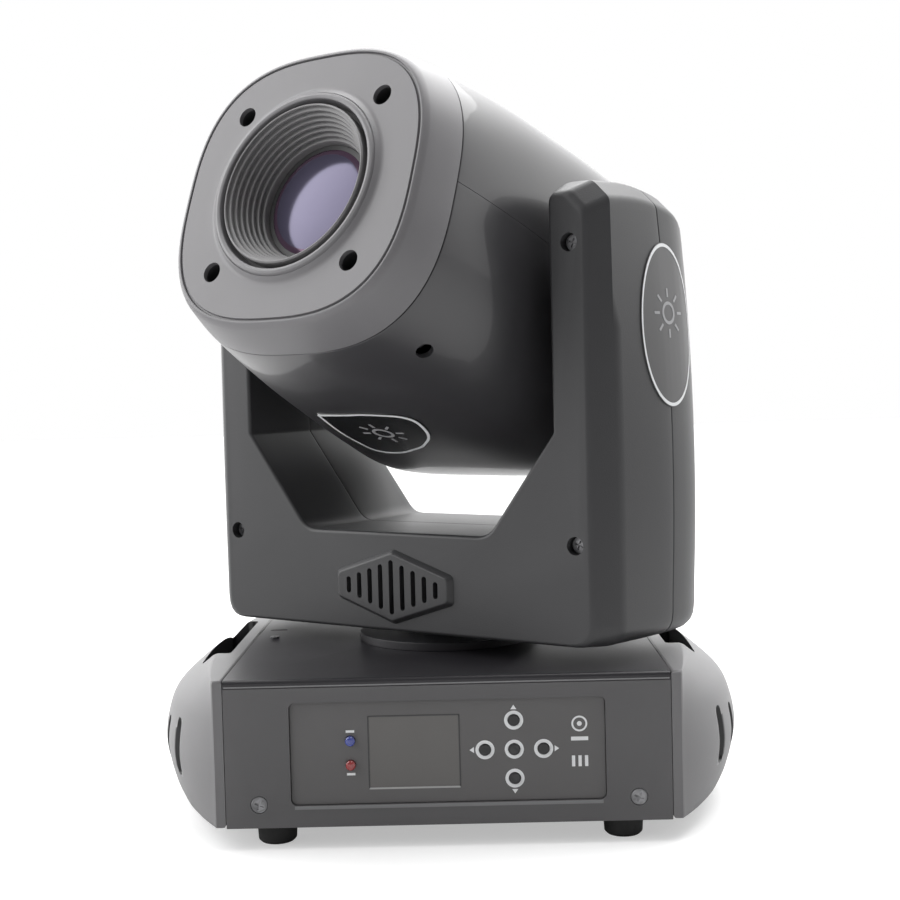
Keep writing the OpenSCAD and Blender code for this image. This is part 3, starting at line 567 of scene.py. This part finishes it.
def make_lens():
    """A strongly curved front lens with a tinted rim and a black edge ring."""
    rim, bulge = 30.95, 6.0
    foot = LENS_FRONT - bulge

    def dome(radius, lift, angles):
        return [(radius * cos(radians(a)), foot + lift + bulge * sin(radians(a))) for a in angles]

    back = LENS_FRONT - 9
    profile = [(rim, back), (rim, foot)] + dome(rim, 0, range(6, 90, 6))
    profile += [(0.01, LENS_FRONT), (0.01, back)]
    turned("front_lens_glass", profile, HEAD, "head", lens_glass, ["front_lens"], sharp=60)
    tint = dome(rim - 0.05, 0.12, (10, 16, 22, 28, 33))
    tint += [(r - 0.1, z - 0.3) for r, z in tint[::-1]]
    turned("lens_edge_tint", tint, HEAD, "head", lens_tint, sharp=60)
    edge = [(31.2, foot + 1.4), (28.9, foot + 2.0), (28.7, foot + 2.6), (31.2, foot + 2.6)]
    turned("lens_edge_ring", edge, HEAD, "head", black_plastic)


def on_head(x, y, lift):
    """The point of the lower head surface at x and depth y, lift above it."""
    half, squareness = head_row(y)
    z = -half * max(0.0, 1 - abs(x / half) ** squareness) ** (1 / squareness)
    return (x, y, z - lift)


def ribbon(name, inner, outer, surface, place, body, material, lift):
    """A thin printed band between two outlines, laid on a surface."""
    rings = [[surface(u, v, lift) for u, v in line] for line in (inner, outer)]
    rings.append([surface(u, v, lift - 0.35) for u, v in outer])
    rings.append([surface(u, v, lift - 0.35) for u, v in inner])
    return loft(name, rings, place, body, material, ends="joined", sharp=50)


def patch(name, outline, centre, surface, place, body, material, lift, stands_for=(), rings=14):
    """A thin skin inside an outline, laid on a surface, with an edge that goes down to it."""
    lines = []
    for k in range(1, rings + 1):
        lines.append([surface(u, v, lift) for u, v in scaled(outline, centre, k / rings)])
    lines.append([surface(u, v, -0.3) for u, v in outline])
    return loft(name, lines, place, body, material, stands_for, sharp=50)


def scaled(outline, centre, factor):
    """The outline made larger or smaller about a centre."""
    x, y = centre
    return [(x + (u - x) * factor, y + (v - y) * factor) for u, v in outline]


def lamp_mark(name, centre, size, surface, place, body, lift):
    """A plain round mark with short rays, printed in grey."""
    ring = circle(*centre, size * 0.42, 36)
    ribbon(f"{name}_ring", scaled(ring, centre, 0.72), ring, surface, place, body, print_grey, lift)
    for i in range(8):
        a = 2 * pi * i / 8
        u = (cos(a), sin(a))
        w = (-u[1], u[0])
        bar = []
        for along, across in ((0.58, -0.05), (0.9, -0.05), (0.9, 0.05), (0.58, 0.05)):
            bar.append((centre[0] + size * (u[0] * along + w[0] * across),
                        centre[1] + size * (u[1] * along + w[1] * across)))
        middle = (centre[0] + size * 0.74 * u[0], centre[1] + size * 0.74 * u[1])
        patch(f"{name}_ray_{i + 1}", bar, middle, surface, place, body, print_grey, lift, rings=2)


def make_head_badge():
    """Black drop-shaped label under the head, with a white line round it."""
    corners = [(-38, -38.5, 3), (-5, -43.5, 60), (27.5, -38.5, 16), (21, -9, 40),
               (3, 9, 40), (-20, 21, 30), (-38.5, 20, 14), (-43.5, -10, 60)]
    outline = rounded(corners, 6)
    centre = (-12, -12)
    patch("underside_badge", outline, centre, on_head, HEAD, "head", badge_black, 0.6, ["head_badge"])
    ribbon("underside_badge_line", scaled(outline, centre, 0.93), scaled(outline, centre, 0.985),
           on_head, HEAD, "head", print_white, 0.75)
    lamp_mark("underside_badge_mark", (-9, -14), 15, on_head, HEAD, "head", 0.75)


# ---------- Yoke ----------

front_low, _ = local_box("yoke_front_shell", YOKE)
rear_low, rear_high = local_box("yoke_rear_shell", YOKE)
Y_FRONT = -50.5     # the flat front; the vent boss stands proud of it
Y_SEAM = rear_low[1]
Y_BACK = rear_high[1]
Z_LOW = min(front_low[2], rear_low[2])
Z_TOP = Z_LOW + 232
FLOOR_X, FLOOR_Z = 60, Z_LOW + 53.6
GAP_X, SLOPE_Z = 100, Z_LOW + 107
DOME = 0.00038      # how fast the arms' outer faces fall away above and below DOME_Z
DOME_Z = Z_LOW + 85
BEVEL = 9.5
SHELL_WALL = 3
TILT_Z = tilt_point.z / MM
VENT_Z = Z_LOW + 24.4
VENT_PITCH = 7.2
VENT_SLOT = 3
YOKE_SCREW_HOLE = 4.6
YOKE_SCREWS = [(side * 111.6, z) for side in (-1, 1) for z in (Z_LOW + 51, Z_LOW + 200.5)]
# Depth, half width, drop of the top, rise of the bottom, share of the sideways dome
crease = (-40.3, 130.4, 1.0, 0.0, 0.15)
yoke_rows = [(Y_FRONT, 120.2, 7.0, 0.0, 0.0)]
yoke_rows += smooth_rows([crease, (-16, 136.6, 0.0, 0.0, 0.7), (3, 140.3, 1.5, 0.0, 1.0),
                          (24, 140.8, 6.0, 0.0, 1.0), (42, 134.0, 14.0, 1.0, 1.0),
                          (Y_BACK, 121.0, 22.0, 3.0, 1.0)], 4)


def yoke_outline(row, inset, y=None):
    """The U-shaped section of the yoke at one row, with every corner rounded."""
    depth, half, drop, rise, dome = row
    z0, z1 = Z_LOW + rise + inset, Z_TOP - drop - inset

    def edge(z):
        return half - inset - dome * DOME * (z - DOME_Z) ** 2

    turn = atan2(SLOPE_Z - FLOOR_Z, GAP_X - FLOOR_X)
    corners = [(edge(z0 + 12), z0, 15 - inset)]
    corners += [(edge(z), z, 0) for z in (z0 + 24 + (z1 - BEVEL - z0 - 30) * k / 10 for k in range(11))]
    corners += [(edge(z1 - BEVEL), z1 - BEVEL, 7), (edge(z1 - BEVEL) - BEVEL, z1, 6),
                (GAP_X + inset, z1, 9 - inset),
                (GAP_X + inset, SLOPE_Z - inset * tan((pi / 2 - turn) / 2), 4),
                (FLOOR_X + inset * tan(turn / 2), FLOOR_Z - inset, 14),
                (0, FLOOR_Z - inset, 0), (0, z0, 0)]
    right = rounded(corners, 5)[:-2]
    points = right + [(-x, z) for x, z in right[::-1]]
    return [(x, depth if y is None else y, z) for x, z in points]


def row_at(y):
    for low, high in zip(yoke_rows, yoke_rows[1:]):
        if y <= high[0]:
            t = (y - low[0]) / (high[0] - low[0])
            return [a + (b - a) * t for a, b in zip(low, high)]
    return yoke_rows[-1]


def yoke_rings(steps):
    """Rings of the yoke's section from (depth, inset) steps."""
    return [yoke_outline(row_at(y), inset, y) for y, inset in steps]


def shaft_cutters():
    return [bar_cutter(circle(0, TILT_Z, 17.5), x, x + 20, "x", YOKE) for x in (-110, 90)]


def front_vent_cutters():
    """The front slots, shorter towards the sides."""
    return [bar_cutter(slot(VENT_PITCH * k, VENT_Z, VENT_SLOT, 29.4 - 5.1 * abs(k)),
                       Y_FRONT - THROUGH, Y_FRONT + THROUGH, "y", YOKE) for k in range(-4, 5)]


def make_front_shell():
    """The front half of the yoke's cover, with its slots and screw holes."""
    edge = Y_SEAM - 0.25
    rings = yoke_rings([(y, SHELL_WALL) for y in (Y_FRONT + SHELL_WALL, -30, edge)])
    rings += yoke_rings([(edge, 0.5), (edge - 0.3, 0.12), (edge - 0.9, 0)])
    rings += [yoke_outline(row, 0) for row in yoke_rows[::-1] if Y_FRONT + 4 < row[0] < edge - 2]
    rings += yoke_rings([(Y_FRONT + 2.2, 0), (Y_FRONT + 1.2, 0.25), (Y_FRONT + 0.4, 0.9), (Y_FRONT, 2.0)])
    shell = loft("front_shell", rings, YOKE, "yoke", yoke_plastic, ["yoke_front_shell"])
    tools = front_vent_cutters()
    tools += [bar_cutter(circle(x, z, YOKE_SCREW_HOLE), Y_FRONT - THROUGH, Y_FRONT + THROUGH, "y", YOKE)
              for x, z in YOKE_SCREWS]
    cut(shell, tools + shaft_cutters())


def make_screw_seats():
    """The black tubes behind the yoke's screw holes, with a floor."""
    inner, outer = YOKE_SCREW_HOLE, 6
    top, floor, end = -0.8, -6.2, -7
    seat = [(inner, top), (inner, floor), (0.01, floor), (0.01, end), (outer, end), (outer, top)]
    for i, (x, z) in enumerate(YOKE_SCREWS):
        at = YOKE @ Matrix.Translation(Vector((x, Y_FRONT, z)) * MM)
        turned(f"screw_seat_{i + 1}", seat, at, "yoke", black_plastic, turns=48)


def hexagon(width, height, side, y):
    corners = [(-width, side, 3), (-width, -side, 3), (0, -height, 4),
               (width, -side, 3), (width, side, 3), (0, height, 4)]
    return [(x, y, VENT_Z + z) for x, z in rounded(corners, 3)]


def make_vent():
    """The raised six-sided boss around the yoke's cooling slots."""
    sizes = [(38.5, 20.4, 7.8, Y_FRONT + 0.5), (38.3, 20.2, 7.7, Y_FRONT - 0.4),
             (36.4, 18.4, 6.4, Y_FRONT - 2.6), (35.4, 17.4, 5.8, Y_FRONT - 3.0)]
    rings = [hexagon(*size) for size in sizes]
    boss = loft("vent_boss", rings, YOKE, "yoke", yoke_plastic, sharp=40)
    make_outward(boss)
    cut(boss, front_vent_cutters())


def make_rear_shell():
    """The rear half of the yoke's cover with its own cooling slots."""
    rings = yoke_rings([(y, SHELL_WALL) for y in (Y_BACK - SHELL_WALL, 30, Y_SEAM)])
    rings += yoke_rings([(Y_SEAM, 0.5), (Y_SEAM + 0.3, 0.12), (Y_SEAM + 0.9, 0)])
    rings += [yoke_outline(row, 0) for row in yoke_rows if Y_SEAM + 2 < row[0] < Y_BACK - 4]
    rings += yoke_rings([(Y_BACK - 3, 0), (Y_BACK - 1.4, 0.6), (Y_BACK - 0.4, 1.6), (Y_BACK, 3.0)])
    shell = loft("rear_shell", rings, YOKE, "yoke", yoke_plastic, ["yoke_rear_shell"])
    tools = [bar_cutter(slot(VENT_PITCH * k, VENT_Z + 3, VENT_SLOT, 24),
                        Y_BACK - THROUGH, Y_BACK + THROUGH, "y", YOKE) for k in range(-5, 6)]
    cut(shell, tools + shaft_cutters())


def on_arm(side):
    """The points of an arm's outer surface, by depth and height."""
    def surface(y, z, lift):
        row = row_at(y)
        half = row[1] - row[4] * DOME * (z - DOME_Z) ** 2
        return (side * (half + lift), y, z)
    return surface


def make_arm_badges():
    """Oval grey label on each arm, with a white line round it."""
    centre = (4, TILT_Z - 26)
    half_wide, half_high = 23.5, 42
    outline = [(centre[0] + half_wide * cos(a), centre[1] + half_high * sin(a)) for a in round_angles(96)]
    for side, name in ((-1, "left"), (1, "right")):
        surface = on_arm(side)
        stands_for = ["arm_badges"] if side == 1 else []
        patch(f"arm_badge_{name}", outline, centre, surface, YOKE, "yoke", badge_grey, 0.6, stands_for)
        ribbon(f"arm_badge_line_{name}", scaled(outline, centre, 0.95), scaled(outline, centre, 0.99),
               surface, YOKE, "yoke", print_white, 0.75)
        lamp_mark(f"arm_badge_mark_{name}", (centre[0], centre[1] + 6), 14, surface, YOKE, "yoke", 0.75)


# ---------- Base ----------

handle_low, handle_high = local_box("handle_right", BASE)
panel_low, panel_high = local_box("display_panel", BASE)
HALF_W = 115.6      # where the handles' curved faces begin
PRINT = 0.06        # how far printed marks stand proud of the panel
PRINT_BASE = -0.04
BULGE = handle_high[0] - HALF_W
PANEL_Y = panel_low[1]
PANEL_Z = (panel_low[2] + panel_high[2]) / 2
# Share of the height, and share of the greatest bulge
handle_rows = smooth_rows([(0, 0.76), (0.11, 0.88), (0.3, 0.98), (0.42, 1), (0.58, 0.95), (0.73, 0.84),
                           (0.87, 0.59), (1, 0.28)], 10)


def handle_ring(z, bulge, inset):
    """The plan outline of a handle cover on the +X side."""
    x0, half = handle_low[0] + inset, handle_high[1] - inset
    sag = bulge * BULGE - inset
    side = half - 1
    radius = (side ** 2 + sag ** 2) / (2 * sag)
    reach = asin(side / radius)
    points = [(x0, half, z), (x0, 0, z), (x0, -half, z)]
    points += [(HALF_W - 0.8, -half, z), (HALF_W, -half + 0.8, z)]
    for i in range(81):
        a = -reach + 2 * reach * i / 80
        points.append((HALF_W + sag - radius + radius * cos(a), radius * sin(a), z))
    return points + [(HALF_W, half - 0.8, z), (HALF_W - 0.8, half, z)]


def make_handle(name, side):
    """A bulging cover with a finger pocket in its top and upright slots in its outer face; the walls of
    the pocket and slots are black as painted shade.
    """
    low, high = handle_low[2], handle_high[2]
    rings = [handle_ring(low, handle_rows[0][1], 2.0), handle_ring(low + 0.5, handle_rows[0][1], 0.8)]
    rings += [handle_ring(low + share * (high - low), bulge, 0) for share, bulge in handle_rows
              if 0.02 < share < 0.98]
    rings += [handle_ring(high - 1.4, 0.33, 0), handle_ring(high - 0.5, 0.30, 0.4),
              handle_ring(high, 0.28, 1.4)]
    mirror = Matrix.Diagonal((side, 1, 1, 1))
    handle = loft(f"{name}_cover", rings, mirror, "base", handle_plastic, [name], sharp=38)
    make_outward(handle)
    pocket = rounded([(117.6, -40, 3), (133.6, -40, 3), (133.6, 64, 3), (117.6, 64, 3)], 5)
    # The pocket's new walls are black: painted shade in the finger gap.
    cut(handle, [bar_cutter(pocket, 37, high + THROUGH, "z", mirror)], black_plastic)
    tools = []
    for y in (-75, -50, -25, 25, 50, 75):
        height = 30 - 8 * (75 - abs(y)) / 25
        depth = HALF_W + BULGE * (1 - (y / handle_high[1]) ** 2)
        tools.append(bar_cutter(slot(y, low + 32, 7, height), depth - 7, depth + 40, "x", mirror))
    # The slots' new walls are black: painted shade in the slots.
    cut(handle, tools, black_plastic)


def flat_print(name, outline):
    """Something printed on the display panel; the outline is in x and z from the panel's middle height."""
    rings = [[(x, PANEL_Y - depth, PANEL_Z + z) for x, z in outline] for depth in (PRINT, PRINT_BASE)]
    make_outward(loft(name, rings, BASE, "base", print_white))


def bar(x, z, w, h):
    return [(x - w / 2, z - h / 2), (x + w / 2, z - h / 2), (x + w / 2, z + h / 2), (x - w / 2, z + h / 2)]


def printed_ring(name, x, z, inner, outer):
    profile = [(inner, PRINT_BASE), (outer, PRINT_BASE), (outer, PRINT), (inner, PRINT)]
    at = Matrix.Translation(Vector((x, PANEL_Y, PANEL_Z + z)) * MM)
    turned(name, profile, at, "base", print_white, turns=48)


def make_panel_print():
    """White rings round the buttons with arrows outside them, and plain marks beside the lights."""
    arrows = {"button_up": (0, 1), "button_down": (0, -1), "button_left": (-1, 0), "button_right": (1, 0)}
    for name in list(arrows) + ["button_enter"]:
        low, high = local_box(name, BASE)
        x, z = (low[0] + high[0]) / 2, (low[2] + high[2]) / 2 - PANEL_Z
        printed_ring(f"{name}_print", x, z, 3.05, 4.7)
        if name in arrows:
            u, v = arrows[name]
            near, far, half = 5.4, 7.6, 1.5
            tip = (x + far * u, z + far * v)
            left = (x + near * u + half * v, z + near * v + half * u)
            right = (x + near * u - half * v, z + near * v - half * u)
            flat_print(f"{name}_arrow", [tip, left, right])
    led_low, led_high = local_box("status_leds", BASE)
    led_x = (led_low[0] + led_high[0]) / 2
    flat_print("upper_led_print", bar(led_x, 10.6, 4.2, 1.2))
    flat_print("lower_led_print", bar(led_x, -10.6, 4.2, 1.2))
    marks_x = panel_high[0] - 12.5
    printed_ring("round_print", marks_x, 12, 3.0, 3.9)
    flat_print("round_print_dot", circle(marks_x, 12, 1.2, 24))
    flat_print("round_print_bar", bar(marks_x, 4.6, 8.4, 1.9))
    for i, dx in enumerate((-3.2, 0, 3.2)):
        flat_print(f"lower_print_{i + 1}", bar(marks_x + dx, -6.5, 1.6, 5.4))


def make_leds():
    """A blue and a red indicator with domed fronts."""
    low, high = local_box("status_leds", BASE)
    x = (low[0] + high[0]) / 2
    radius = (high[0] - low[0]) / 2
    tip = PANEL_Y - low[1]
    side = radius - 0.05
    profile = [(0.01, -2.5), (side, -2.5), (side, tip - 0.7), (radius * 0.8, tip - 0.25),
               (radius * 0.45, tip - 0.05), (0.01, tip)]
    diodes = (("blue_led", high[2] - radius, blue_diode), ("red_led", low[2] + radius, red_diode))
    for name, z, material in diodes:
        at = Matrix.Translation(Vector((x, PANEL_Y, z)) * MM)
        stands_for = ["status_leds"] if name == "blue_led" else []
        turned(name, profile, at, "base", material, stands_for, turns=32)


def strip(name, x0, x1, z0, z1, y, material):
    """A thin upright strip facing the front, 0.1 mm proud of depth y."""
    outline = [(x0, z0), (x1, z0), (x1, z1), (x0, z1)]
    rings = [[(x, y - proud, z) for x, z in outline] for proud in (0.1, -0.3)]
    make_outward(loft(name, rings, BASE, "base", material))


def make_front_shade_and_highlights():
    """Black strips along the screen's left, right and top edges as painted shade, and paler strips along
    the lower edges of the screen, panel and top cover as painted highlights.
    """
    low, high = local_box("lcd_screen", BASE)
    # Painted shade: black strips along the screen's left, right and top edges.
    strip("lcd_shade_left", low[0] - 0.3, low[0] + 0.35, low[2], high[2], PANEL_Y, black_plastic)
    strip("lcd_shade_right", high[0] - 0.35, high[0] + 0.3, low[2], high[2], PANEL_Y, black_plastic)
    strip("lcd_shade_top", low[0], high[0], high[2] - 0.35, high[2] + 0.3, PANEL_Y, black_plastic)
    # Painted highlight along the screen's lower edge.
    strip("lcd_highlight_bottom", low[0], high[0], low[2] - 0.5, low[2] + 0.35, PANEL_Y, highlight_pale)
    front, _ = local_box("base_front_panel", BASE)
    # Painted highlight along the lower edge of the panel recess.
    strip("panel_highlight_bottom", panel_low[0] + 1.5, panel_high[0] - 1.5,
          panel_low[2] - 2.1, panel_low[2] - 0.4, front[1], highlight_grey)
    # Painted highlight along the top cover's lower front edge.
    cover, cover_top = local_box("base_top_cover", BASE)
    strip("cover_highlight", cover[0] + 0.6, cover_top[0] - 0.6,
          cover[2] + 0.3, cover[2] + 1.0, cover[1], highlight_grey)


# ---------- Run ----------

make_bezel()
make_shells()
make_rear_cap()
make_lens_surround()
make_lens()
make_head_badge()
make_front_shell()
make_vent()
make_screw_seats()
make_rear_shell()
make_arm_badges()
make_handle("handle_left", -1)
make_handle("handle_right", 1)
make_panel_print()
make_leds()
make_front_shade_and_highlights()

looks = {
    front_plastic: "base_front_panel",
    panel_film: "display_panel",
    painted_sheet: "base_pan base_top_cover base_rear_panel turntable_ring",
    black_plastic: "power_inlet dmx_in_socket dmx_out_socket fuse_holder fan_frame fan_rotor "
                   "button_up button_down button_left button_right button_enter "
                   "pan_motor tilt_motor wheel_motors focus_carriage gobo_wheel",
    rubber: "rubber_feet pan_belt tilt_belt",
    dark_steel: "base_screws yoke_screws head_screws",
    screen_film: "lcd_screen",
    lens_glass: "focus_lens",
    steel: "bracket_sockets safety_loop pan_post yoke_frame pan_bearing tilt_bearings tilt_shafts "
           "power_supply",
    aluminium: "head_chassis heat_sink pan_motor_pulley tilt_motor_pulley tilt_pulley",
    circuit_green: "control_board",
    phosphor: "led_module",
    filter_glass: "colour_wheel",
}
for material, names in looks.items():
    for name in names.split():
        polish(name, material)


# ---------- Studio ----------

def make_floor():
    """A pale floor that the camera sees as white as a photographer's ground, without lighting the part."""
    mesh = bpy.data.meshes.new("floor")
    mesh.from_pydata([(-6, -6, 0), (6, -6, 0), (6, 6, 0), (-6, 6, 0)], [], [(0, 1, 2, 3)])
    floor = bpy.data.objects.new("floor", mesh)
    bpy.context.scene.collection.objects.link(floor)
    white = shader("floor_white", (0.60, 0.60, 0.60), 0.6, spread=0.01)
    nodes, links = white.node_tree.nodes, white.node_tree.links
    surface = nodes["Principled BSDF"]
    surface.inputs["Emission Color"].default_value = (0.45, 0.45, 0.45, 1)
    seen = nodes.new("ShaderNodeLightPath").outputs["Is Camera Ray"]
    links.new(seen, surface.inputs["Emission Strength"])
    paint(floor, white)


def make_light(name, at, aim, size, power):
    light = bpy.data.lights.new(name, "AREA")
    light.shape = "RECTANGLE"
    light.size, light.size_y = size
    light.energy = power
    obj = bpy.data.objects.new(name, light)
    bpy.context.scene.collection.objects.link(obj)
    obj.location = at
    obj.rotation_euler = (Vector(aim) - Vector(at)).to_track_quat("-Z", "Y").to_euler()


def make_world():
    """A pale room, darker on the side where the photo was taken; the camera itself sees plain white."""
    world = bpy.data.worlds.new("room")
    bpy.context.scene.world = world
    world.use_nodes = True
    nodes, links = world.node_tree.nodes, world.node_tree.links
    split = nodes.new("ShaderNodeSeparateXYZ")
    links.new(nodes.new("ShaderNodeTexCoord").outputs["Generated"], split.inputs["Vector"])
    fade = nodes.new("ShaderNodeMapRange")
    fade.inputs["From Min"].default_value = -0.35
    fade.inputs["From Max"].default_value = 0.3
    fade.inputs["To Min"].default_value = 0.22
    fade.inputs["To Max"].default_value = 2.0
    links.new(split.outputs["Y"], fade.inputs["Value"])
    seen = nodes.new("ShaderNodeMix")
    seen.inputs["B"].default_value = 1.0
    links.new(nodes.new("ShaderNodeLightPath").outputs["Is Camera Ray"], seen.inputs["Factor"])
    links.new(fade.outputs["Result"], seen.inputs["A"])
    sky = nodes["Background"]
    sky.inputs["Color"].default_value = (1, 1, 1, 1)
    links.new(seen.outputs["Result"], sky.inputs["Strength"])


def make_camera():
    """Stands in front of the light at the height of the yoke, with a slight roll."""
    yaw, pitch, roll = radians(0.74), radians(-2.68), radians(1.49)
    camera = bpy.data.cameras.new("camera")
    camera.sensor_width = 36
    camera.lens = 56.99
    obj = bpy.data.objects.new("camera", camera)
    bpy.context.scene.collection.objects.link(obj)
    aim = Matrix.Rotation(yaw, 4, "Z") @ Matrix.Rotation(pitch, 4, "X")
    level = aim @ Matrix.Rotation(roll, 4, "Y") @ Matrix.Rotation(radians(90), 4, "X")
    obj.matrix_world = Matrix.Translation((0.0139, -0.8048, 0.2275)) @ level
    bpy.context.scene.camera = obj


make_floor()
make_light("upper_left_box", (-1.4, -0.3, 1.1), (0, 0, 0.3), (2.2, 1.8), 30)
make_light("top_box", (0.3, 0.35, 1.5), (0, 0, 0.2), (1.6, 1.6), 32)
make_world()
make_camera()
bpy.context.scene.view_settings.view_transform = "Standard"
